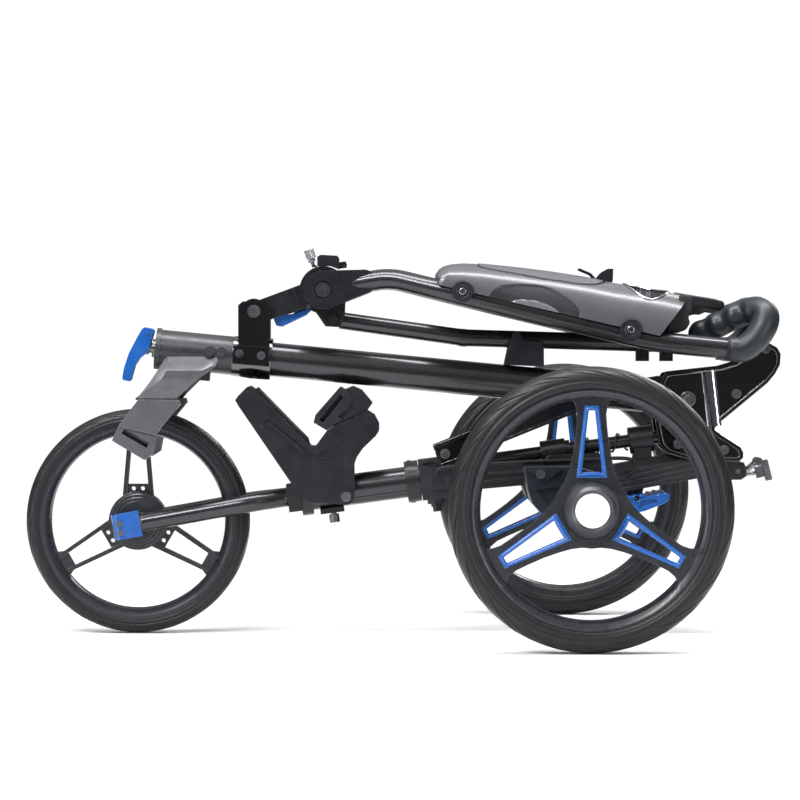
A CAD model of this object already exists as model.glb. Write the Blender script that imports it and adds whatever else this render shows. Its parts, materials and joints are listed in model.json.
"""Three-wheeled bag cart, dressed over its CAD pieces.

The ground is z = 0. The single front wheel is at -x, the pair of rear wheels and the grip are
at +x. The near side is -y, towards the camera. Outlines and stations are in millimetres;
Vector paths, tube radii and path steps are in metres.
"""
import json
import math

import bmesh
import bpy
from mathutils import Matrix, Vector

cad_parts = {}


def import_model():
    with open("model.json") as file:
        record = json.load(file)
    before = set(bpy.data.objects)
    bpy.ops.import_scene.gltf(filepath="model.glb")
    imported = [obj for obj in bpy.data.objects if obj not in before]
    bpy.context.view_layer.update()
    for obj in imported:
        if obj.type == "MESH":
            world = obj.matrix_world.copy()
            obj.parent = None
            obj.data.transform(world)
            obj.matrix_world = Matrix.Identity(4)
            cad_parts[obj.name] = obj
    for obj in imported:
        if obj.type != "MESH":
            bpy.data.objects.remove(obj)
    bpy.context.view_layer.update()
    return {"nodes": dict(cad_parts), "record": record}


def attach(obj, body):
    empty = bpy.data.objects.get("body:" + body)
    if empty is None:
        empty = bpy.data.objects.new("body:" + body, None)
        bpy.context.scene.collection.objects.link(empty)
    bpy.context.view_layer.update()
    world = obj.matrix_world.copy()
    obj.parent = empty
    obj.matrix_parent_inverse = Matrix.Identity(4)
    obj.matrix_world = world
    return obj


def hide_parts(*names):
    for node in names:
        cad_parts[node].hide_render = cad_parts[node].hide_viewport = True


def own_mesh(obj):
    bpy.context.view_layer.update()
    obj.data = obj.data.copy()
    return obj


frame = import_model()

NODES = frame["nodes"]
SCENE = bpy.context.scene

# sign and name of each side; points are written for the near side, and y is times the sign
SIDES = ((1, "near"), (-1, "far"))

# wheels (mm); each centre stands one tyre radius above the ground
REAR_AXLE_X = 190.0
REAR_TYRE_RADIUS = 146
REAR_WHEEL_Y = 280
FRONT_AXLE_X = -288.5
FRONT_TYRE_RADIUS = 122

# straight run of each handle tube under the console (mm)
HANDLE_TUBE_Y = 58.0
TUBE_HIGH_X, TUBE_HIGH_Z = 44, 372.2
TUBE_LOW_X, TUBE_LOW_Z = 270, 317.6


# ------------------------------------------------------------------ shader nodes
def new_material(name):
    """Empty material with a Principled shader on its output."""
    mat = bpy.data.materials.new(name)
    mat.use_nodes = True
    tree = mat.node_tree
    tree.nodes.clear()
    output = tree.nodes.new("ShaderNodeOutputMaterial")
    shader = tree.nodes.new("ShaderNodeBsdfPrincipled")
    tree.links.new(shader.outputs[0], output.inputs[0])
    return mat, tree, shader, output


def noise(tree, coords, scale, detail=3.0, roughness=0.5):
    node = tree.nodes.new("ShaderNodeTexNoise")
    node.inputs["Scale"].default_value = scale
    node.inputs["Detail"].default_value = detail
    node.inputs["Roughness"].default_value = roughness
    tree.links.new(coords, node.inputs["Vector"])
    return node.outputs["Fac"]


def remap(tree, value, span, to=(0.0, 1.0)):
    node = tree.nodes.new("ShaderNodeMapRange")
    node.inputs["From Min"].default_value = span[0]
    node.inputs["From Max"].default_value = span[1]
    node.inputs["To Min"].default_value = to[0]
    node.inputs["To Max"].default_value = to[1]
    tree.links.new(value, node.inputs["Value"])
    return node.outputs["Result"]


def mix_colour(tree, factor, first, second):
    """Blend of two colours, each a tuple or a socket."""
    node = tree.nodes.new("ShaderNodeMix")
    node.data_type = "RGBA"
    tree.links.new(factor, node.inputs["Factor"])
    # inputs 6 and 7 and output 2 are the colour sockets of the node
    for socket, colour in ((node.inputs[6], first), (node.inputs[7], second)):
        if isinstance(colour, tuple):
            socket.default_value = (*colour, 1.0)
        else:
            tree.links.new(colour, socket)
    return node.outputs[2]


def multiply(tree, value, factor):
    """Product of a socket and a number or another socket."""
    node = tree.nodes.new("ShaderNodeMath")
    node.operation = "MULTIPLY"
    tree.links.new(value, node.inputs[0])
    if isinstance(factor, float):
        node.inputs[1].default_value = factor
    else:
        tree.links.new(factor, node.inputs[1])
    return node.outputs[0]


def bump(tree, height, strength, distance):
    node = tree.nodes.new("ShaderNodeBump")
    node.inputs["Strength"].default_value = strength
    node.inputs["Distance"].default_value = distance
    tree.links.new(height, node.inputs["Height"])
    return node.outputs[0]


def scaled(colour, factor):
    return tuple(min(1, channel * factor) for channel in colour)


def add_flakes(tree, coords, base, colour, amount):
    """Scattered bright and dark flakes, one per Voronoi cell."""
    cells = tree.nodes.new("ShaderNodeTexVoronoi")
    cells.inputs["Scale"].default_value = 2600.0
    tree.links.new(coords, cells.inputs["Vector"])
    split = tree.nodes.new("ShaderNodeSeparateColor")
    tree.links.new(cells.outputs["Color"], split.inputs[0])
    bright = remap(tree, split.outputs[0], span=(0.90, 1.0), to=(0.0, amount))
    base = mix_colour(tree, bright, base, (0.75, 0.78, 0.82))
    dark = remap(tree, split.outputs[1], span=(0.0, 0.25), to=(amount * 0.4, 0.0))
    return mix_colour(tree, dark, base, scaled(colour, 0.35))


def edge_wear(tree, coords, amount):
    """Mask of patchy wear along edges, where a rounded normal leaves the true one."""
    rounded = tree.nodes.new("ShaderNodeBevel")
    rounded.samples = 4
    rounded.inputs["Radius"].default_value = 0.0012
    geometry = tree.nodes.new("ShaderNodeNewGeometry")
    dot = tree.nodes.new("ShaderNodeVectorMath")
    dot.operation = "DOT_PRODUCT"
    tree.links.new(rounded.outputs[0], dot.inputs[0])
    tree.links.new(geometry.outputs["Normal"], dot.inputs[1])
    edge = remap(tree, dot.outputs["Value"], span=(0.99, 0.80))
    patches = noise(tree, coords, scale=90.0, detail=4.0, roughness=0.65)
    patches = remap(tree, patches, span=(0.35, 0.7), to=(0.15, 1.0))
    return multiply(tree, multiply(tree, edge, patches), amount)


def brushed_bump(tree, coords, stretch):
    mapping = tree.nodes.new("ShaderNodeMapping")
    mapping.inputs["Scale"].default_value = stretch
    tree.links.new(coords, mapping.inputs["Vector"])
    lines = noise(tree, mapping.outputs[0], scale=60.0, detail=3.0, roughness=0.6)
    return bump(tree, lines, strength=0.12, distance=0.0003)


MATERIALS = {}


def define(slot, colour, roughness=0.45, metallic=0.0, grain=0.0, grain_scale=1600.0, vary=0.10,
           wear=0.0, wear_colour=None, flake=0.0, coat=0.0, specular=0.5, rough_vary=0.07,
           brushed=None, dust=0.0, transmission=0.0, speck=0.35):
    """Procedural surface for a slot.

    vary: slow colour variation; speck: fine dark speckle; grain: bump strength;
    brushed: scale of a brushed bump, in place of grain; wear, flake, dust: their amounts.
    """
    mat, tree, shader, _ = new_material("m_" + slot)
    MATERIALS[slot] = mat
    coords = tree.nodes.new("ShaderNodeTexCoord").outputs["Object"]

    slow = remap(tree, noise(tree, coords, scale=14.0), span=(0.3, 0.7))
    base = mix_colour(tree, slow, scaled(colour, 1 - vary), scaled(colour, 1 + vary))
    fine = noise(tree, coords, scale=420.0, detail=4.0, roughness=0.6)
    fine = remap(tree, fine, span=(0.35, 0.65), to=(0.0, speck))
    base = mix_colour(tree, fine, base, scaled(colour, 0.72))
    if flake:
        base = add_flakes(tree, coords, base, colour, flake)
    if dust:
        clouds = noise(tree, coords, scale=55.0, detail=5.0, roughness=0.7)
        clouds = remap(tree, clouds, span=(0.52, 0.8), to=(0.0, dust))
        base = mix_colour(tree, clouds, base, (0.30, 0.29, 0.27))
    if wear:
        mask = edge_wear(tree, coords, wear)
        base = mix_colour(tree, mask, base, wear_colour or scaled(colour, 2.2))
    tree.links.new(base, shader.inputs["Base Color"])

    smudges = noise(tree, coords, scale=60.0, detail=4.0, roughness=0.6)
    limits = (max(0.02, roughness - rough_vary), min(1, roughness + rough_vary))
    smudges = remap(tree, smudges, span=(0.3, 0.7), to=limits)
    tree.links.new(smudges, shader.inputs["Roughness"])
    shader.inputs["Metallic"].default_value = metallic
    shader.inputs["Specular IOR Level"].default_value = specular
    if coat:
        shader.inputs["Coat Weight"].default_value = coat
        shader.inputs["Coat Roughness"].default_value = 0.12
    if transmission:
        shader.inputs["Transmission Weight"].default_value = transmission

    if grain:
        grains = noise(tree, coords, scale=grain_scale, detail=2.0, roughness=0.6)
        normal = bump(tree, grains, strength=grain, distance=0.0004)
        tree.links.new(normal, shader.inputs["Normal"])
    elif brushed:
        tree.links.new(brushed_bump(tree, coords, brushed), shader.inputs["Normal"])


# ------------------------------------------------------------------ materials
# settings shared by families of surfaces
PAINT = dict(grain=0.03, grain_scale=3200, flake=0.07, speck=0.12, vary=0.05)
MOULDING = dict(grain=0.18, specular=0.32)
WHEEL = dict(grain=0.08, grain_scale=1800, flake=0.05, wear_colour=(0.22, 0.23, 0.25))
CASTING = dict(roughness=0.36, metallic=0.1, grain_scale=1500, flake=0.08, wear=0.3)
SATIN = dict(metallic=0.15, grain=0.08, grain_scale=1700, flake=0.08, coat=0.10,
             speck=0.10, rough_vary=0.02)
SCUFF = (0.08, 0.09, 0.11)

define("graphite_tube", (0.0240, 0.0245, 0.0270), roughness=0.26, metallic=0.70,
       rough_vary=0.015, coat=0.18, **PAINT)
define("beam_paint", (0.0300, 0.0305, 0.0330), roughness=0.30, metallic=0.65,
       rough_vary=0.02, coat=0.15, wear=0.25, **PAINT)
define("black_moulding", (0.0055, 0.0060, 0.0072), roughness=0.36, wear=0.25, **MOULDING)
define("blue_plastic", (0.0020, 0.0600, 0.2500), roughness=0.28, grain=0.06, grain_scale=1200,
       coat=0.25, vary=0.08, wear=0.35, wear_colour=(0.04, 0.22, 0.55))
define("blue_trim", (0.0020, 0.0660, 0.2800), roughness=0.30, grain=0.05, grain_scale=1200,
       coat=0.2, vary=0.06, wear=0.5, wear_colour=(0.06, 0.28, 0.65))
define("steel", (0.1400, 0.1440, 0.1520), roughness=0.30, metallic=1.0, grain=0.04,
       wear=0.4, wear_colour=(0.45, 0.46, 0.48))
define("bushing", (0.42, 0.32, 0.16), roughness=0.34, metallic=1.0)
define("housing_plastic", (0.0095, 0.0105, 0.013), roughness=0.36,
       wear=0.3, wear_colour=(0.08, 0.085, 0.10), **MOULDING)
define("navy_plastic", (0.0075, 0.0105, 0.0155), roughness=0.33, grain=0.12,
       wear=0.35, wear_colour=SCUFF, specular=0.32)
define("black_gloss", (0.0022, 0.0022, 0.0027), roughness=0.10, coat=0.9, rough_vary=0.02,
       wear=0.25, wear_colour=(0.14, 0.145, 0.155), specular=0.6)
define("spacer_alloy", (0.30, 0.31, 0.33), roughness=0.35, metallic=1.0, brushed=(1, 8, 1))
define("cradle_plastic", (0.0050, 0.0060, 0.0085), roughness=0.33,
       wear=0.35, wear_colour=SCUFF, **MOULDING)
define("black_rubber", (0.0058, 0.0058, 0.0068), roughness=0.58, grain=0.3, grain_scale=900,
       specular=0.25)
define("dark_moulding", (0.0085, 0.0095, 0.0125), roughness=0.34,
       wear=0.35, wear_colour=(0.09, 0.095, 0.11), **MOULDING)
define("spring_steel", (0.03, 0.03, 0.034), roughness=0.3, metallic=0.9, vary=0.15)
define("bail_wire", (0.20, 0.205, 0.215), roughness=0.24, metallic=0.95)
define("tyre_rubber", (0.0060, 0.0064, 0.0075), roughness=0.42, grain=0.22, grain_scale=1100,
       dust=0.015, specular=0.26)
define("rim_plastic", (0.0095, 0.0102, 0.0130), roughness=0.30, wear=0.35, specular=0.36,
       **WHEEL)
define("hub_plastic", (0.0240, 0.0255, 0.0300), roughness=0.34, wear=0.3, specular=0.4, **WHEEL)
define("white_disc", (0.80, 0.81, 0.82), roughness=0.16, coat=0.6, vary=0.02)
define("bush_plastic", (0.012, 0.012, 0.014), roughness=0.4)
define("cast_grey", (0.0155, 0.0165, 0.0200), grain=0.12, wear_colour=(0.30, 0.31, 0.33),
       specular=0.4, **CASTING)
define("wing_grey", (0.0560, 0.0580, 0.0650), grain=0.10, wear_colour=(0.42, 0.43, 0.45),
       **{**CASTING, "roughness": 0.32})
define("joint_casting", (0.0075, 0.0082, 0.0100), roughness=0.30, metallic=0.25, grain=0.12,
       grain_scale=1500, flake=0.04, wear=0.45, wear_colour=(0.13, 0.135, 0.15), specular=0.35)
define("clear_knob", (0.34, 0.355, 0.375), roughness=0.08, transmission=0.6, coat=0.4, vary=0.03)
define("grip_rubber", (0.0100, 0.0130, 0.0165), roughness=0.40, grain=0.14, grain_scale=1300,
       vary=0.06, specular=0.34)
define("console_satin", (0.0600, 0.0620, 0.0690), roughness=0.33, **SATIN)
define("lid_satin", (0.0780, 0.0800, 0.0890), roughness=0.31, **SATIN)
define("scoop_satin", (0.0280, 0.0290, 0.0330), roughness=0.32, metallic=0.15, grain=0.10,
       grain_scale=1700, flake=0.06, speck=0.10, rough_vary=0.02)
define("lens_satin", (0.1250, 0.1280, 0.1400), roughness=0.24, metallic=0.2, grain=0.06,
       grain_scale=1700, coat=0.2, speck=0.10, rough_vary=0.02)
define("foam_black", (0.004, 0.004, 0.0045), roughness=0.8, grain=0.9, grain_scale=420)
define("polished_tube", (0.5000, 0.5100, 0.5300), roughness=0.10, metallic=1.0, vary=0.03)


# ------------------------------------------------------------------ points and paths
def metres(x, y, z):
    return (x / 1000, y / 1000, z / 1000)


def vectors(points):
    """Vectors in metres from points in mm."""
    return [Vector(p) / 1000 for p in points]


def on_side(points, sign):
    """Near-side points put on the side with this sign."""
    return [(x, y * sign, z) for x, y, z in points]


def catmull(points, steps):
    """Catmull-Rom curve through the points."""
    P = [points[0] * 2 - points[1]] + points + [points[-1] * 2 - points[-2]]
    curve = []
    for i in range(1, len(P) - 2):
        a, b, c, d = P[i - 1:i + 3]
        for k in range(steps):
            t = k / steps
            curve.append(0.5 * ((2 * b) + (c - a) * t + (2 * a - 5 * b + 4 * c - d) * t * t
                                + (3 * b - 3 * c + d - a) * t ** 3))
    curve.append(points[-1])
    return curve


def fillet(points, radius, steps=8):
    """Polyline with rounded corners; radius is one number or a list with one per point."""
    rounded = [points[0]]
    for i in range(1, len(points) - 1):
        corner = points[i]
        before, after = corner - points[i - 1], points[i + 1] - corner
        direction_in, direction_out = before.normalized(), after.normalized()
        turn = direction_in.angle(direction_out)
        r = radius[i] if isinstance(radius, list) else radius
        cut = min(r * math.tan(turn / 2), before.length * 0.48, after.length * 0.48)
        start, end = corner - direction_in * cut, corner + direction_out * cut
        for j in range(steps + 1):
            u = j / steps
            rounded.append(start * (1 - u) ** 2 + corner * 2 * u * (1 - u) + end * u * u)
    rounded.append(points[-1])
    path = [rounded[0]]
    for p in rounded[1:]:
        if (p - path[-1]).length > 1e-6:
            path.append(p)
    return path


def closed_fillet(points, radius):
    """Closed polyline with rounded corners, opened in the middle of its last edge."""
    seam = points[-1].lerp(points[0], 0.5)
    return fillet([seam] + points + [seam], radius, steps=6)


def resample(path, step):
    """Evenly spaced points along a path, about one step apart."""
    run = [0.0]
    for i in range(1, len(path)):
        run.append(run[-1] + (path[i] - path[i - 1]).length)
    count = max(2, int(round(run[-1] / step)) + 1)
    even, j = [], 0
    for k in range(count):
        s = run[-1] * k / (count - 1)
        while j < len(run) - 2 and run[j + 1] < s:
            j += 1
        u = (s - run[j]) / max(1e-12, run[j + 1] - run[j])
        even.append(path[j].lerp(path[j + 1], min(1, max(0, u))))
    return even


def inset(outline, distance):
    """Outline moved inwards, with its sharpest corners held back."""
    area = sum(p[0] * q[1] - q[0] * p[1] for p, q in zip([outline[-1]] + outline, outline))
    turn = 1 if area > 0 else -1
    moved = []
    for i in range(len(outline)):
        before, corner = Vector(outline[i - 1]), Vector(outline[i])
        after = Vector(outline[(i + 1) % len(outline)])
        e0, e1 = (corner - before).normalized(), (after - corner).normalized()
        push = Vector((-e0.y, e0.x)) * turn + Vector((-e1.y, e1.x)) * turn
        push = push / max(0.35, push.length_squared / 2)
        moved.append(corner + push * distance)
    return [(p.x, p.y) for p in moved]


# ------------------------------------------------------------------ meshes
def sharpen(obj, degrees):
    obj.data.set_sharp_from_angle(angle=math.radians(degrees))


def add_mesh(name, verts, faces, material, body, sharp=None):
    """Smooth mesh riding on a body; its slot is its material's unless given."""
    mesh = bpy.data.meshes.new(name)
    mesh.from_pydata([tuple(v) for v in verts], [], faces)
    mesh.validate()
    mesh.update()
    obj = bpy.data.objects.new(name, mesh)
    SCENE.collection.objects.link(obj)
    mesh.materials.append(MATERIALS[material])
    for polygon in mesh.polygons:
        polygon.use_smooth = True
    if sharp:
        sharpen(obj, sharp)
    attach(obj, body)
    return obj


def fix_normals(obj):
    bm = bmesh.new()
    bm.from_mesh(obj.data)
    bmesh.ops.recalc_face_normals(bm, faces=bm.faces)
    bm.to_mesh(obj.data)
    bm.free()
    return obj


def loft_faces(rows, size):
    """Quads between successive closed rows of points."""
    faces = []
    for i in range(rows - 1):
        a, b = i * size, (i + 1) * size
        for k in range(size):
            k2 = (k + 1) % size
            faces.append((a + k, a + k2, b + k2, b + k))
    return faces


def spin_faces(turns, size):
    """Quads of a closed profile turned all the way round."""
    faces = []
    for i in range(turns):
        a, b = i * size, (i + 1) % turns * size
        for k in range(size):
            k2 = (k + 1) % size
            faces.append((a + k, b + k, b + k2, a + k2))
    return faces


def sweep(name, path, radius, material, body, sides, stretch=(1, 1)):
    """Tube along a path; radius is a number or f(place from 0 to 1, angle).

    stretch scales the section along y, as far as the path allows, and across it.
    """
    last = len(path) - 1
    tangents = [(path[min(last, i + 1)] - path[max(0, i - 1)]).normalized()
                for i in range(last + 1)]
    verts = []
    # the section's first axis starts towards +y and is carried along without twist
    axis = Vector((0, 1, 0))
    axis = axis - tangents[0] * axis.dot(tangents[0])
    axis.normalize()
    for i, (centre, tangent) in enumerate(zip(path, tangents)):
        axis = axis - tangent * axis.dot(tangent)
        axis.normalize()
        cross = tangent.cross(axis)
        for k in range(sides):
            a = 2 * math.pi * k / sides
            r = radius(i / last, a) if callable(radius) else radius
            verts.append(centre + axis * (math.cos(a) * r * stretch[0])
                         + cross * (math.sin(a) * r * stretch[1]))
    faces = loft_faces(last + 1, sides)
    for first, centre, flip in ((0, path[0], True), (last * sides, path[-1], False)):
        middle = len(verts)
        verts.append(centre)
        for k in range(sides):
            a, b = first + k, first + (k + 1) % sides
            faces.append((b, a, middle) if flip else (a, b, middle))
    return fix_normals(add_mesh(name, verts, faces, material, body, sharp=50))


def revolve(name, profile, centre, sign, material, body, segments):
    """Closed profile [(radius, distance out from y = 0)] turned about a line along y."""
    verts = []
    for i in range(segments):
        a = 2 * math.pi * i / segments
        for r, out in profile:
            verts.append(metres(centre[0] + r * math.cos(a), -sign * out,
                                centre[1] + r * math.sin(a)))
    faces = spin_faces(segments, len(profile))
    return fix_normals(add_mesh(name, verts, faces, material, body, sharp=40))


def prism(name, outline, half_width, material, body, bevel, segments):
    """Outline [(x, z)] extruded along y to both sides of the middle, with rounded edges."""
    n = len(outline)
    verts = [metres(x, y, z) for y in (-half_width, half_width) for x, z in outline]
    faces = [tuple(range(n)), tuple(range(2 * n - 1, n - 1, -1))]
    for i in range(n):
        j = (i + 1) % n
        faces.append((i, i + n, j + n, j))
    obj = fix_normals(add_mesh(name, verts, faces, material, body))
    rounding = obj.modifiers.new("bevel", "BEVEL")
    rounding.width = bevel / 1000
    rounding.segments = segments
    rounding.limit_method = "ANGLE"
    rounding.angle_limit = math.radians(35)
    rounding.harden_normals = False
    sharpen(obj, 60)
    obj.modifiers.new("wn", "WEIGHTED_NORMAL").keep_sharp = True


REPLACED = set()


def replace_node(obj, name):
    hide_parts(name)
    REPLACED.add(name)


# ------------------------------------------------------------------ tyres
TYRE_WRAP = math.radians(128)  # angle from the crown to each bead
TYRE_PROFILE_POINTS = 104
# grooves (positive depth) and beads (negative) round both halves of the tyre:
# place from crown (0) to bead (1), width on the same scale, depth in mm
TYRE_RINGS = ((0.055, 0.014, 1.0), (0.675, 0.016, 1.1), (0.735, 0.022, -0.7),
              (0.80, 0.014, 0.7), (0.92, 0.014, 0.5))
CUT_START, CUT_SPAN = 0.06, 0.54  # where the curved cuts lie, on the same scale


def tyre_profile(radius, bead_radius, half_width):
    """[(radius, distance from the middle plane, place from -1 to 1)] from bead to bead."""
    base = bead_radius + (radius - bead_radius) * 0.30
    profile = []
    for j in range(TYRE_PROFILE_POINTS):
        even = -1 + 2 * j / (TYRE_PROFILE_POINTS - 1)
        place = even + 0.095 * math.sin(2 * math.pi * even)
        s, c = math.sin(place * TYRE_WRAP), math.cos(place * TYRE_WRAP)
        out = half_width * (abs(s) ** 0.86) * (1 if s >= 0 else -1)
        r = base + (radius - base) * (c ** 0.82 if c >= 0 else c * 0.72)
        profile.append((max(bead_radius - 0.4, r), out, place))
    return profile


def tread_depth(angle, place, radius, pitch):
    """Depth (mm) of the tread pattern at a point of the tyre."""
    def gap(a):
        """Distance round the tyre to the nearest cut."""
        arc = (a % pitch) * radius
        return min(arc, pitch * radius - arc)

    depth = 0.0
    away = abs(place)
    if CUT_START < away < CUT_START + CUT_SPAN:
        u = (away - CUT_START) / CUT_SPAN
        lean = u ** 1.5 * pitch * 1.15
        stagger = 0.0 if place > 0 else pitch * 0.5
        # long sickle-shaped cut on each shoulder
        width = 1.1 + 2.3 * math.sin(math.pi * min(1.0, u * 1.1)) ** 2
        fade = min(1, u / 0.06) * min(1, (1 - u) / 0.16)
        depth += 2.3 * max(0.0, 1 - (gap(angle + (lean + stagger)) / width) ** 2) * fade
        # shorter, shallower cut halfway between
        if u > 0.35:
            between = gap(angle + (lean * 1.12 + stagger) + pitch * 0.5)
            fade = min(1, (u - 0.35) / 0.15) * min(1, (1 - u) / 0.12)
            depth += 1.3 * max(0.0, 1 - (between / 1.5) ** 2) * fade
    for centre, width, ring_depth in TYRE_RINGS:
        depth += ring_depth * math.exp(-((away - centre) / width) ** 2)
    return depth


def tyre(wheel, x, y, sign, radius, bead_radius, half_width, segments, cuts):
    profile = tyre_profile(radius, bead_radius, half_width)
    pitch = 2 * math.pi / cuts
    verts = []
    for i in range(segments):
        a = 2 * math.pi * i / segments
        for r, out, place in profile:
            depth = tread_depth(a, place, radius, pitch)
            lean = place * TYRE_WRAP
            r -= depth * max(0.15, math.cos(lean))
            out -= depth * math.sin(lean)
            verts.append(metres(x + r * math.cos(a), y - sign * out, radius + r * math.sin(a)))
    faces = spin_faces(segments, len(profile))
    obj = add_mesh(wheel + "_tyre_tread", verts, faces, "tyre_rubber", wheel + "_wheel")
    replace_node(fix_normals(obj), wheel + "_tyre")


def tyres():
    for sign, side in SIDES:
        tyre(side, x=REAR_AXLE_X, y=-sign * REAR_WHEEL_Y, sign=sign, radius=REAR_TYRE_RADIUS,
             bead_radius=123, half_width=21, segments=780, cuts=18)
    tyre("front", x=FRONT_AXLE_X, y=0, sign=1, radius=FRONT_TYRE_RADIUS,
         bead_radius=106, half_width=18, segments=660, cuts=16)


# ------------------------------------------------------------------ tubes, grip, cable, spring
# (x, y, z) on the near side, with the bend radius (m) at each point
HANDLE_TUBE = [(-53.6, -26.7, 379.9), (-14, -33, 386.6),
               (TUBE_HIGH_X, -HANDLE_TUBE_Y, TUBE_HIGH_Z),
               (TUBE_LOW_X, -HANDLE_TUBE_Y, TUBE_LOW_Z), (358, -HANDLE_TUBE_Y, 308.8)]
HANDLE_BENDS = [0, 0.07, 0.09, 0.4, 0]
FORK_ARM = [(-306, -32.5, 116.8), (-163, -32.5, 142.6), (-128, -12, 147.2), (-114, -12, 149.0)]
FORK_BENDS = [0, 0.045, 0.035, 0]


def handle_and_fork_tubes():
    # name, body, node, points, bends, path step, radius
    tubes = (("handle_tube_", "handle", "handle_tubes", HANDLE_TUBE, HANDLE_BENDS, 0.006, 0.011),
             ("fork_arm_", "chassis", "fork_arms", FORK_ARM, FORK_BENDS, 0.004, 0.010))
    for sign, side in SIDES:
        for name, body, node, points, bends, step, radius in tubes:
            path = resample(fillet(vectors(on_side(points, sign)), bends), step)
            obj = sweep(name + side, path, radius, "graphite_tube", body, sides=32)
            # the near tube stands in for the node that holds the pair
            if side == "near":
                replace_node(obj, node)


# near half of the grip's centre line (x, y, z): a horn rising from the side tube,
# then running in to the middle
GRIP_HALF = [(352, -HANDLE_TUBE_Y, 309.4), (366, -HANDLE_TUBE_Y, 309.6),
             (379, -HANDLE_TUBE_Y, 319), (389, -56, 334), (391.4, -51, 345), (386, -43, 351.4),
             (374, -35, 350.2), (356, -26, 342.4), (338, -15, 332.4), (326, -7, 327.2),
             (322, 0, 326.0)]
GRIP_RADIUS = 0.0142
FINGER_ANGLE = math.radians(118)  # direction of the finger grooves round the section
FINGER_START = 0.52               # place from the tube (0) to the middle (1)


def grip_radius(along, angle):
    place = min(along, 1 - along) * 2
    r = GRIP_RADIUS
    if place < 0.10:
        r *= 0.88 + 0.12 * (place / 0.10) ** 0.6
    # swell on the horns, then a slimmer middle
    r *= 1 + 0.05 * math.exp(-((place - 0.33) / 0.16) ** 2)
    r *= 1 - 0.08 * max(0.0, (place - 0.62) / 0.38)
    if place > FINGER_START:
        u = (place - FINGER_START) / (1 - FINGER_START)
        facing = max(0.0, math.cos(angle - FINGER_ANGLE)) ** 0.7
        wave = 0.5 - 0.5 * math.cos(2 * math.pi * u * 3.4)
        r -= 0.0042 * facing * wave * min(1, u / 0.1)
    return r


def grip():
    line = GRIP_HALF + on_side(reversed(GRIP_HALF[:-1]), -1)
    path = resample(catmull(vectors(line), 14), 0.0018)
    obj = sweep("grip_skin", path, grip_radius, "grip_rubber", "handle", sides=40)
    replace_node(obj, "grip")
    # dark collar where the grip starts on each tube
    collar = [(348.6, -HANDLE_TUBE_Y, 309.7), (354.4, -HANDLE_TUBE_Y, 309.2)]
    for sign, side in SIDES:
        sweep("grip_collar_" + side, vectors(on_side(collar, sign)), 0.0126, "black_rubber",
              "handle", sides=40)


BRAKE_CABLE = [(36, -32, 172), (46, -32, 181), (120, -36.8, 186.4), (183, -37.4, 188.9),
               (238, -38, 191), (252, -36, 186), (249, -34, 176), (242, -31, 171)]


def brake_cable():
    path = resample(catmull(vectors(BRAKE_CABLE), 12), 0.003)
    obj = sweep("brake_cable_jacket", path, 0.0021, "black_rubber", "chassis", sides=14)
    replace_node(obj, "brake_cable")


LOCK_ROD_START = (84, 186.8)  # x, z; the rod lies in the middle plane
LOCK_ROD_COS = math.cos(math.radians(7.7))
LOCK_ROD_SIN = math.sin(math.radians(7.7))
SPRING_START, SPRING_LENGTH = 102, 60  # along the rod
SPRING_COIL_RADIUS = 0.0094
SPRING_TURNS, SPRING_STEPS = 3.5, 220


def lock_rod_point(distance):
    x, z = LOCK_ROD_START
    return Vector((x + distance * LOCK_ROD_COS, 0, z + distance * LOCK_ROD_SIN)) / 1000


def lock_spring():
    path = []
    for i in range(SPRING_STEPS + 1):
        t = i / SPRING_STEPS
        a = t * 2 * math.pi * SPRING_TURNS
        around = Vector((-LOCK_ROD_SIN * math.cos(a), math.sin(a), LOCK_ROD_COS * math.cos(a)))
        centre = lock_rod_point(SPRING_START + SPRING_LENGTH * t)
        path.append(centre + around * SPRING_COIL_RADIUS)
    obj = sweep("lock_spring_coil", path, 0.0012, "spring_steel", "chassis", sides=12)
    replace_node(obj, "lock_spring")
    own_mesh(obj)


# ------------------------------------------------------------------ console shape
# (x, z) stations of the side edge and of the crown, front to rear, in matching pairs
CONSOLE_EDGE = [(36.4, 384.0), (36.6, 381.0), (38.0, 378.6), (42.0, 377.4), (55, 374.3),
                (80, 368.4), (122.5, 358.4), (160, 349.9), (200, 340.7), (230, 333.9),
                (255, 328.2), (268, 325.2), (276, 323.4)]
CONSOLE_CROWN = [(36.6, 391.5), (40.0, 396.5), (45.0, 399.4), (53.0, 401.6), (66, 402.6),
                 (88, 401.8), (122, 398.4), (158, 394.0), (196, 388.2), (228, 381.8),
                 (262, 376.4), (286.7, 371.8), (309.4, 366.4)]
# (x, z) outlines: scoop in each side, lens within it, and the lid's recess in the top
SCOOP = [(89.9, 364.4), (96.4, 372.5), (106.8, 377.4), (122.4, 379.0), (135.4, 378.7),
         (148.4, 377.4), (160.1, 374.3), (169.2, 369.6), (178.3, 363.9), (186.1, 358.1),
         (190.6, 352.4), (190.0, 342.5), (150, 340), (90, 352)]
LENS = [(114.1, 359.2), (119.8, 362.3), (127.6, 363.1), (140.6, 361.3), (153.6, 358.1),
        (164.0, 352.9), (169.8, 347.5), (158.8, 348.3), (135.4, 354.5)]
LID = [(81.0, 404.0), (81.4, 398.4), (84, 397.0), (97.1, 394.2), (149.4, 384.6),
       (188.6, 378.8), (201.7, 378.0), (210, 378.4), (216.5, 380.4), (221.3, 384.0),
       (221.3, 420), (81.0, 420)]
# (x, z) line of the underside between the tube channels
CONSOLE_FLOOR = [(50, 374), (57, 364.2), (120, 347), (192, 332), (240, 326.4), (283, 327)]
CHANNEL_INNER_Y = 46.6
SKIRT_THICKNESS = 1.8
CUP_X, CUP_Y = 264.8, -18
CUP_FLOOR_Z = 349

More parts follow.
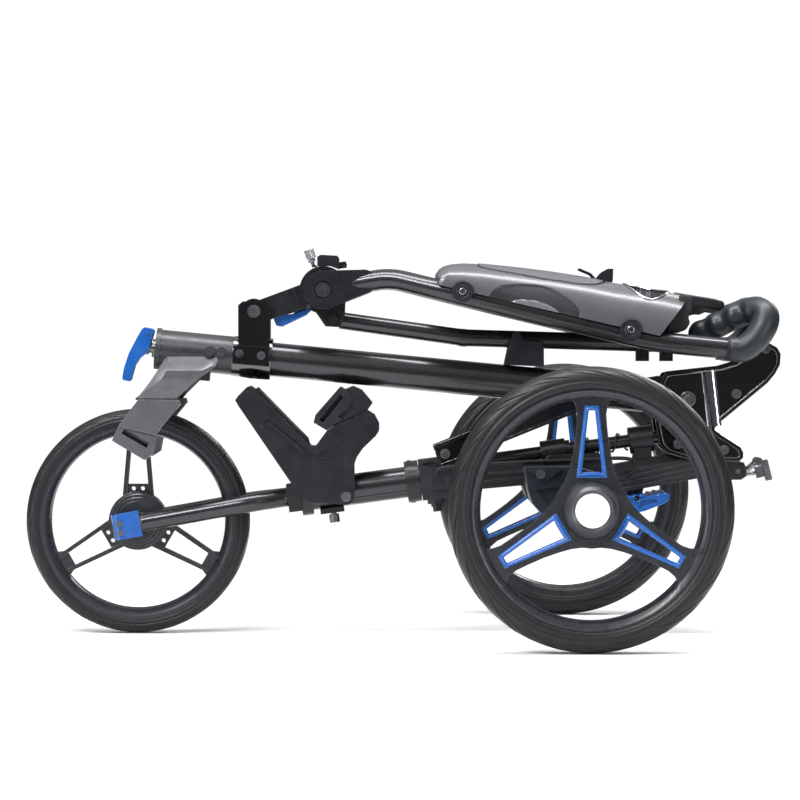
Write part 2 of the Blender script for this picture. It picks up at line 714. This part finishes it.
# parts of the shell: the values index SHELL_MATERIALS
SKIN, SCOOP_FLOOR, LENS_FACE, RECESS, UNDERSIDE = range(5)
SHELL_MATERIALS = ("console_satin", "scoop_satin", "lens_satin", "black_moulding", "foam_black")

# grid of the shell: stations front to rear, angles from near edge to far edge
STATIONS = []
for k in range(len(CONSOLE_CROWN) - 1):
    steps = max(3, int((CONSOLE_CROWN[k + 1][0] - CONSOLE_CROWN[k][0]) / 0.9))
    STATIONS += [k + i / steps for i in range(steps)]
STATIONS.append(len(CONSOLE_CROWN) - 1.0)
ARCH_STEPS = 150
# angles are a blend of an even spread and one crowded at the edges
ANGLES = [math.pi * (0.5 - 0.5 * math.cos(math.pi * i / ARCH_STEPS)) * 0.35
          + math.pi * i / ARCH_STEPS * 0.65 for i in range(ARCH_STEPS + 1)]


def at_station(table, station):
    k = min(len(table) - 2, int(station))
    u = station - k
    return tuple(p * (1 - u) + q * u for p, q in zip(table[k], table[k + 1]))


def console_half_width(station):
    return 71.0 - 9.0 * max(0.0, 1 - station / 3.0) ** 1.6


def section_point(station, rise):
    """(x, z) of the shell at a share of the way from its edge to its crown."""
    edge, crown = at_station(CONSOLE_EDGE, station), at_station(CONSOLE_CROWN, station)
    return (edge[0] + (crown[0] - edge[0]) * rise, edge[1] + (crown[1] - edge[1]) * rise)


def console_point(station, angle, out=0.0):
    """Point of the plain shell, moved outwards by a distance."""
    c = math.cos(angle)
    outwards = -1 if c >= 0 else 1
    rise = abs(math.sin(angle)) ** (2 / 3.0)
    x, z = section_point(station, rise)
    y = console_half_width(station) * (abs(c) ** (2 / 3.0)) * outwards
    return x, y + out * outwards * (1 - rise) ** 0.5, z + out * rise


def depth_inside(x, z, outline):
    """Distance to a closed outline, positive inside it."""
    inside, nearest = False, 1e9
    for i in range(len(outline)):
        (x0, z0), (x1, z1) = outline[i - 1], outline[i]
        if (z0 > z) != (z1 > z) and x < (x1 - x0) * (z - z0) / (z1 - z0) + x0:
            inside = not inside
        dx, dz = x1 - x0, z1 - z0
        u = max(0, min(1, ((x - x0) * dx + (z - z0) * dz) / (dx * dx + dz * dz)))
        nearest = min(nearest, math.hypot(x - x0 - u * dx, z - z0 - u * dz))
    return nearest if inside else -nearest


def smooth(t):
    t = max(0.0, min(1.0, t))
    return t * t * (3 - 2 * t)


def in_cup(x, y):
    """Positive inside the oval cup opening."""
    return 1 - math.sqrt(((x - CUP_X) / 24.0) ** 2 + ((y - CUP_Y) / 42.0) ** 2)


def in_notch(x, y):
    """Positive inside the rectangular notch in the middle of the top."""
    return min(x - 184, 240 - x, 17.5 - abs(y))


def shaped_point(station, angle):
    """Point of the shell with its recesses, and the part it belongs to."""
    x, y, z = console_point(station, angle)
    part = SKIN
    if abs(y) > 50:
        scoop = depth_inside(x, z, SCOOP)
        if scoop > -0.5:
            y -= math.copysign(2.2 * smooth((scoop + 0.5) / 1.6), y)
            part = SCOOP_FLOOR if scoop > 0.2 else SKIN
            lens = depth_inside(x, z, LENS)
            if lens > 0:
                y += math.copysign(1.1 * smooth(lens / 0.9), y)
                part = LENS_FACE
    lid, cup = depth_inside(x, z, LID), in_cup(x, y)
    if in_notch(x, y) > 0:
        z -= 14.5
        part = RECESS
    elif lid > 0:
        z -= 13 * smooth(lid / 0.9)
        part = RECESS
    if cup > 0 and x > 236:
        z -= max(0.0, z - CUP_FLOOR_Z) * smooth(cup / 0.05)
        part = RECESS
    return metres(x, y, z), part


def floor_height(x, edge_z):
    """Underside between the channels; level with the edge at the front end."""
    if x > CONSOLE_FLOOR[0][0]:
        for (x0, z0), (x1, z1) in zip(CONSOLE_FLOOR, CONSOLE_FLOOR[1:]):
            if x0 <= x <= x1:
                return z0 + (z1 - z0) * (x - x0) / (x1 - x0)
    return edge_z


def underside(station):
    """Eight points from the far edge back to the near one, round both tube channels."""
    x, edge_z = at_station(CONSOLE_EDGE, station)
    x += 0.01
    tube_z = TUBE_HIGH_Z - (x - TUBE_HIGH_X) * (TUBE_HIGH_Z - TUBE_LOW_Z) / (
        TUBE_LOW_X - TUBE_HIGH_X)
    channel_z = min(edge_z + 14, max(edge_z + 0.5, tube_z + 12.0))
    floor_z = floor_height(x, edge_z)
    skirt_y = console_half_width(station) - SKIRT_THICKNESS
    half = [(skirt_y, edge_z), (skirt_y, channel_z), (CHANNEL_INNER_Y, channel_z),
            (CHANNEL_INNER_Y, floor_z)]
    return [metres(x, y, z) for y, z in half + [(-y, z) for y, z in reversed(half)]]


def console_shell():
    verts, parts = [], []
    for station in STATIONS:
        for angle in ANGLES:
            point, part = shaped_point(station, angle)
            verts.append(point)
            parts.append(part)
        below = underside(station)
        verts += below
        parts += [UNDERSIDE] * len(below)
    row = len(ANGLES) + len(below)
    faces = loft_faces(len(STATIONS), row)
    face_parts = []
    for face in faces:
        corners = [parts[i] for i in face]
        if SKIN in corners:
            face_parts.append(SKIN)
        elif UNDERSIDE in corners:
            face_parts.append(UNDERSIDE)
        else:
            face_parts.append(max(set(corners), key=corners.count))
    # fans that close the front and the rear end
    for first, part in ((0, SKIN), ((len(STATIONS) - 1) * row, UNDERSIDE)):
        middle = len(verts)
        x = sum(verts[first + j][0] for j in range(row)) / row
        z = sum(verts[first + j][2] for j in range(row)) / row
        verts.append((x, 0, z))
        for j in range(row):
            a, b = first + j, first + (j + 1) % row
            faces.append((a, b, middle) if part == SKIN else (b, a, middle))
            face_parts.append(part)
    shell = add_mesh("console_shell", verts, faces, SHELL_MATERIALS[SKIN], "handle")
    for name in SHELL_MATERIALS[1:]:
        shell.data.materials.append(MATERIALS[name])
    for polygon, part in zip(shell.data.polygons, face_parts):
        polygon.material_index = part
    fix_normals(shell)
    sharpen(shell, 38)
    replace_node(shell, "console_body")


def console_lid():
    """Thick piece of the shell's own surface, from the grid cells inside the lid outline."""
    lift, thickness = 0.5, 7.0

    def in_lid(x, y, z):
        return x > 81.9 and in_notch(x, y) < -0.6 and depth_inside(x, z, LID) > 1.1

    # a set, as its order sets the order of the vertices
    cells = set()
    for i in range(len(STATIONS) - 1):
        for j in range(ARCH_STEPS):
            corners = ((i, j), (i + 1, j), (i + 1, j + 1), (i, j + 1))
            if all(in_lid(*console_point(STATIONS[p], ANGLES[q])) for p, q in corners):
                cells.add((i, j))

    indices, verts, faces = {}, [], []

    def vertex(i, j, top):
        key = (i, j, top)
        if key not in indices:
            x, y, z = console_point(STATIONS[i], ANGLES[j], lift)
            indices[key] = len(verts)
            verts.append(metres(x, y, z if top else z - thickness))
        return indices[key]

    # neighbour of a cell, then the ends of the side they share
    neighbours = (((-1, 0), (0, 0), (0, 1)), ((1, 0), (1, 1), (1, 0)),
                  ((0, -1), (1, 0), (0, 0)), ((0, 1), (0, 1), (1, 1)))
    for i, j in cells:
        faces.append((vertex(i, j, 1), vertex(i, j + 1, 1),
                      vertex(i + 1, j + 1, 1), vertex(i + 1, j, 1)))
        faces.append((vertex(i, j, 0), vertex(i + 1, j, 0),
                      vertex(i + 1, j + 1, 0), vertex(i, j + 1, 0)))
        for (di, dj), p, q in neighbours:
            if (i + di, j + dj) not in cells:
                a, b = (i + p[0], j + p[1]), (i + q[0], j + q[1])
                faces.append((vertex(*a, 1), vertex(*a, 0), vertex(*b, 0), vertex(*b, 1)))
    lid = add_mesh("console_lid_skin", verts, faces, "lid_satin", "console_cover")
    fix_normals(lid)
    sharpen(lid, 40)
    replace_node(lid, "console_lid")


def console_top(x, y):
    """Height of the plain shell at a place, by bisection over the stations."""
    low, high = 2.0, len(CONSOLE_CROWN) - 1.0
    for _ in range(40):
        station = (low + high) / 2
        share = min(1.0, abs(y) / console_half_width(station))
        rise = max(0.0, 1 - share ** 3) ** (1 / 3.0)
        section_x, z = section_point(station, rise)
        if section_x < x:
            low = station
        else:
            high = station
    return z


def cup_lip():
    """Bright lip around the cup opening."""
    lip = []
    for i in range(121):
        a = 2 * math.pi * i / 120
        x, y = CUP_X + 24.1 * math.cos(a), CUP_Y + 42.2 * math.sin(a)
        lip.append((x, y, console_top(x, y) + 0.5))
    sweep("console_cup_lip", vectors(lip), 0.0012, "polished_tube", "handle", sides=10)


# ------------------------------------------------------------------ console fittings
# (x, z) outlines at the rear end of the console
END_BLOCK = [(283, 327), (297, 326.6), (306, 330), (310.5, 338), (308, 343), (312.4, 352),
             (313.4, 365.2), (309, 367.4), (300, 368.2)]
PRONG = [(296, 371.4), (338.8, 364.5), (349, 361.8), (351.4, 359.5), (350.8, 353.0),
         (346, 351.6), (330, 354.8), (314, 353.6), (300, 352)]
PRONG_PAD = [(308, 354.0), (330, 356.0), (349.4, 353.4), (348.6, 350.6), (342, 350.4),
             (338, 348.2), (330, 349.4), (324, 346.6), (318, 346.8), (311, 345)]
# (radius, distance out from the middle plane)
RING = [(5.6, 69.5), (5.6, 74.6), (7.4, 75.0), (7.8, 74.2), (8.4, 74.2), (8.8, 75.2),
        (10.8, 75.0), (11.7, 73.6), (11.7, 69.5)]
SCREW = [(0.01, 69.5), (0.01, 73.0), (1.9, 73.0), (2.1, 74.6), (3.4, 74.6), (4.4, 73.8),
         (4.6, 69.5)]
RING_PLACES = (("front", (64.2, 371.2)), ("rear", (245.1, 330.4)))


def console_fittings():
    prism("console_end_block", END_BLOCK, 52, "foam_black", "handle", bevel=2.4, segments=3)
    prism("console_prong", PRONG, 9, "dark_moulding", "handle", bevel=2.2, segments=4)
    prism("console_prong_pad", PRONG_PAD, 7.6, "foam_black", "handle", bevel=1.0, segments=2)
    for sign, side in SIDES:
        for place, centre in RING_PLACES:
            revolve(f"console_ring_{place}_{side}", RING, centre, sign, "dark_moulding",
                    "handle", segments=64)
            revolve(f"console_screw_{place}_{side}", SCREW, centre, sign, "steel",
                    "handle", segments=40)


# ------------------------------------------------------------------ rear plates
# (x, z) outline of each plate
PLATE = [(281.6, 277.8), (285, 283.2), (291, 284.8), (345.7, 290.8), (360, 295), (367.4, 299.5),
         (383, 313.2), (390.2, 316.4), (398, 316), (406.6, 311), (410.4, 304), (409.6, 291.9),
         (404.3, 282.1), (396, 272), (344, 229), (338.2, 222.6), (342, 219), (366.5, 203.2),
         (369.8, 197), (369.6, 190.6), (365, 187), (312, 188.6), (288, 196), (279, 205),
         (274, 232.2), (276, 262)]
PLATE_RIB = [(331.6, -27.6, 285.4), (338.4, -27.6, 225.6)]


def plate_details():
    """Bright flattened upright and a raised rim on each plate."""
    rim = [(x, -29.0, z) for x, z in inset(PLATE, 4.2)]
    # overlapping ends, so that every corner of the loop is rounded
    rim = [rim[-1]] + rim + rim[:2]
    for sign, side in SIDES:
        sweep("plate_rib_" + side, resample(vectors(on_side(PLATE_RIB, sign)), 0.004), 0.0080,
              "polished_tube", "chassis", sides=32, stretch=(0.36, 1))
        path = fillet(vectors(on_side(rim, sign)), 0.006, steps=4)[1:-1]
        sweep("plate_rim_" + side, path, 0.0009, "black_gloss", "chassis", sides=8)


# ------------------------------------------------------------------ wheel window trims
# (across the arm, out from the axle)
WINDOW = [(-12.9, 35.2), (-5.4, 103.8), (5.4, 103.8), (12.9, 35.2), (6.0, 36.6), (-6.0, 36.6)]
WINDOWS = 3
TRIM_OUT = 13.4  # from the middle plane of the wheel


def window_trims():
    for sign, side in SIDES:
        for k in range(WINDOWS):
            a = math.radians(90) + math.radians(360 / WINDOWS * k)
            c, s = math.cos(a), math.sin(a)
            band = [(REAR_AXLE_X + r * c + u * s, -REAR_WHEEL_Y - TRIM_OUT,
                     REAR_TYRE_RADIUS + r * s - u * c) for u, r in WINDOW]
            path = resample(closed_fillet(vectors(on_side(band, sign)), 0.0042), 0.0022)
            sweep(f"{side}_trim_band_{k + 1}", path, 0.00245, "blue_trim", side + "_wheel",
                  sides=12, stretch=(1.5, 1.0))


# ------------------------------------------------------------------ bag wings
# x of the front edge, x of the rear edge, distance from the middle plane, z
WING = [(-257.4, -196.0, 13.0, 301.4), (-259.8, -200.5, 20.5, 296.0),
        (-264.8, -210.5, 31.0, 287.5), (-273.6, -226.0, 46.5, 273.0),
        (-281.4, -237.0, 62.0, 262.0), (-287.2, -243.6, 70.0, 254.6)]
WING_STEPS = 20


def wings():
    """Smooth skin over each cast wing."""
    front_edge = catmull([Vector((x, y, z)) for x, _, y, z in WING], 8)
    rear_edge = catmull([Vector((x, y, z)) for _, x, y, z in WING], 8)
    rows, row = len(front_edge), 2 * (WING_STEPS + 1)
    for sign, side in SIDES:
        verts = []
        for front, rear in zip(front_edge, rear_edge):
            # outer face, thinner near its edges, then the inner face back again
            for q in range(WING_STEPS + 1):
                p = front.lerp(rear, q / WING_STEPS)
                from_edge = min(q, WING_STEPS - q) / 3.0
                bulge = 5.6 - 1.6 * max(0.0, 1 - from_edge) ** 2
                verts.append(metres(p.x, -sign * (p.y + bulge), p.z))
            for q in range(WING_STEPS + 1):
                p = rear.lerp(front, q / WING_STEPS)
                verts.append(metres(p.x, -sign * (p.y - 0.6), p.z))
        faces = loft_faces(rows, row)
        faces.append(tuple(range(row)))
        faces.append(tuple(range((rows - 1) * row, rows * row))[::-1])
        wing = fix_normals(add_mesh("wing_skin_" + side, verts, faces, "wing_grey", "mast"))
        sharpen(wing, 50)


# ------------------------------------------------------------------ CAD pieces
UNBEVELLED = {"axle_bushes", "chassis_bolts", "mast_bolts"}
DEFAULT_BEVEL = 0.5
BEVELS = {  # mm
    "mast_head": 1.0, "wing_ends": 1.4, "cam_lever": 2.2, "bag_cradle": 1.6,
    "cradle_buckle": 1.2, "clamp_bracket": 0.8, "rear_plates": 0.9, "rail_plates": 0.6,
    "hinge_housing": 1.4, "leg_covers": 1.6, "brake_pedal": 0.9, "near_rim": 1.2,
    "far_rim": 1.2, "front_rim": 0.9, "side_sleeves": 1.8, "handle_arm": 1.0,
    "latch_lever": 1.4, "rest_saddle": 1.2, "fork_caps": 1.4, "tube_clamps": 0.8,
    "accessory_block": 0.8}


def finish_cad_pieces():
    """Material on every CAD piece, and rounded edges on those that stay in view."""
    slots = {part["node"]: part["material_slot"] for part in frame["record"]["subparts"]}
    for name, obj in NODES.items():
        obj.data.materials.clear()
        obj.data.materials.append(MATERIALS[slots[name]])
        if name in REPLACED:
            continue
        obj.modifiers.new("weld", "WELD").merge_threshold = 1e-5
        if name in UNBEVELLED:
            continue
        rounding = obj.modifiers.new("bevel", "BEVEL")
        rounding.width = BEVELS.get(name, DEFAULT_BEVEL) / 1000
        rounding.segments = 2
        rounding.limit_method = "ANGLE"
        rounding.angle_limit = math.radians(38)
        rounding.use_clamp_overlap = True
        rounding.miter_outer = "MITER_ARC"
        obj.modifiers.new("wn", "WEIGHTED_NORMAL").keep_sharp = True


# ------------------------------------------------------------------ floor, world, lights, camera
FLOOR_RADIUS, FLOOR_SIDES, FLOOR_Z = 2.3, 64, -0.0004
# name, place, target, size, power
LIGHTS = (
    ("key", (-1.2, -2.0, 2.0), (0, 0, 0.2), (1.5, 0.36), 88),
    ("top", (0.1, -0.3, 2.2), (0, 0, 0.2), (2.4, 0.45), 84),
    ("back", (1.3, 1.9, 1.4), (0, 0, 0.2), (1.2, 0.6), 26),
    ("low", (1.9, -2.4, 0.6), (0.1, 0, 0.2), (0.28, 1.1), 24),
    ("left", (-2.4, -1.4, 0.5), (0.1, 0, 0.2), (0.25, 1.0), 18),
)
CAMERA_DISTANCE = 4.071
VIEW_WIDTH = 0.87424  # width in view at y = 0


def floor():
    """Pale disc that fades to transparent away from the middle."""
    mat, tree, shader, output = new_material("floor_pale")
    shader.inputs["Base Color"].default_value = (0.80, 0.805, 0.81, 1)
    shader.inputs["Roughness"].default_value = 0.7
    clear = tree.nodes.new("ShaderNodeBsdfTransparent")
    mix = tree.nodes.new("ShaderNodeMixShader")
    geometry = tree.nodes.new("ShaderNodeNewGeometry")
    length = tree.nodes.new("ShaderNodeVectorMath")
    length.operation = "LENGTH"
    tree.links.new(geometry.outputs["Position"], length.inputs[0])
    fade = remap(tree, length.outputs["Value"], span=(0.75, 2.2))
    tree.links.new(fade, mix.inputs[0])
    tree.links.new(shader.outputs[0], mix.inputs[1])
    tree.links.new(clear.outputs[0], mix.inputs[2])
    tree.links.new(mix.outputs[0], output.inputs[0])

    verts = [(0, 0, FLOOR_Z)]
    for i in range(FLOOR_SIDES):
        a = 2 * math.pi * i / FLOOR_SIDES
        verts.append((FLOOR_RADIUS * math.cos(a), FLOOR_RADIUS * math.sin(a), FLOOR_Z))
    faces = [(0, 1 + i, 1 + (i + 1) % FLOOR_SIDES) for i in range(FLOOR_SIDES)]
    mesh = bpy.data.meshes.new("floor")
    mesh.from_pydata(verts, [], faces)
    mesh.materials.append(mat)
    obj = bpy.data.objects.new("floor", mesh)
    SCENE.collection.objects.link(obj)


def world():
    """Vertical grey gradient for lighting; plain white to the camera."""
    studio = bpy.data.worlds.new("studio")
    SCENE.world = studio
    studio.use_nodes = True
    tree = studio.node_tree
    gradient = tree.nodes["Background"]
    output = next(n for n in tree.nodes if n.type == "OUTPUT_WORLD")
    coords = tree.nodes.new("ShaderNodeTexCoord")
    split = tree.nodes.new("ShaderNodeSeparateXYZ")
    tree.links.new(coords.outputs["Generated"], split.inputs[0])
    ramp = tree.nodes.new("ShaderNodeValToRGB")
    tree.links.new(remap(tree, split.outputs["Z"], span=(-1.0, 1.0)), ramp.inputs[0])
    stops = ramp.color_ramp.elements
    stops[0].position = 0.30
    stops[0].color = (0.035, 0.035, 0.038, 1)
    stops[1].position = 0.92
    stops[1].color = (1.0, 1.0, 1.0, 1)
    stops.new(0.50).color = (0.10, 0.102, 0.108, 1)
    stops.new(0.72).color = (0.30, 0.305, 0.315, 1)
    tree.links.new(ramp.outputs[0], gradient.inputs[0])
    gradient.inputs[1].default_value = 1.05
    white = tree.nodes.new("ShaderNodeBackground")
    white.inputs[0].default_value = (1, 1, 1, 1)
    white.inputs[1].default_value = 1.05
    rays = tree.nodes.new("ShaderNodeLightPath")
    mix = tree.nodes.new("ShaderNodeMixShader")
    tree.links.new(rays.outputs["Is Camera Ray"], mix.inputs[0])
    tree.links.new(gradient.outputs[0], mix.inputs[1])
    tree.links.new(white.outputs[0], mix.inputs[2])
    tree.links.new(mix.outputs[0], output.inputs[0])


def lights():
    for name, place, target, size, power in LIGHTS:
        light = bpy.data.lights.new(name, "AREA")
        light.shape = "RECTANGLE"
        light.size, light.size_y = size
        light.energy = power
        obj = bpy.data.objects.new(name, light)
        obj.location = place
        aim = Vector(target) - Vector(place)
        obj.rotation_euler = aim.to_track_quat("-Z", "Y").to_euler()
        SCENE.collection.objects.link(obj)


def camera():
    """Level camera looking along +y at the near side."""
    cam = bpy.data.cameras.new("camera")
    obj = bpy.data.objects.new("camera", cam)
    SCENE.collection.objects.link(obj)
    obj.location = (-0.0289, -CAMERA_DISTANCE, 0.3136)
    obj.rotation_euler = (math.radians(90), 0, 0)
    cam.sensor_width = 36
    cam.lens = 36 * CAMERA_DISTANCE / VIEW_WIDTH
    cam.shift_x = 0.03
    cam.shift_y = -0.06875
    cam.clip_end = 50
    SCENE.camera = obj
    SCENE.view_settings.view_transform = "Standard"


tyres()
handle_and_fork_tubes()
grip()
brake_cable()
lock_spring()
console_shell()
console_lid()
cup_lip()
console_fittings()
plate_details()
window_trims()
wings()
finish_cad_pieces()
floor()
world()
lights()
camera()
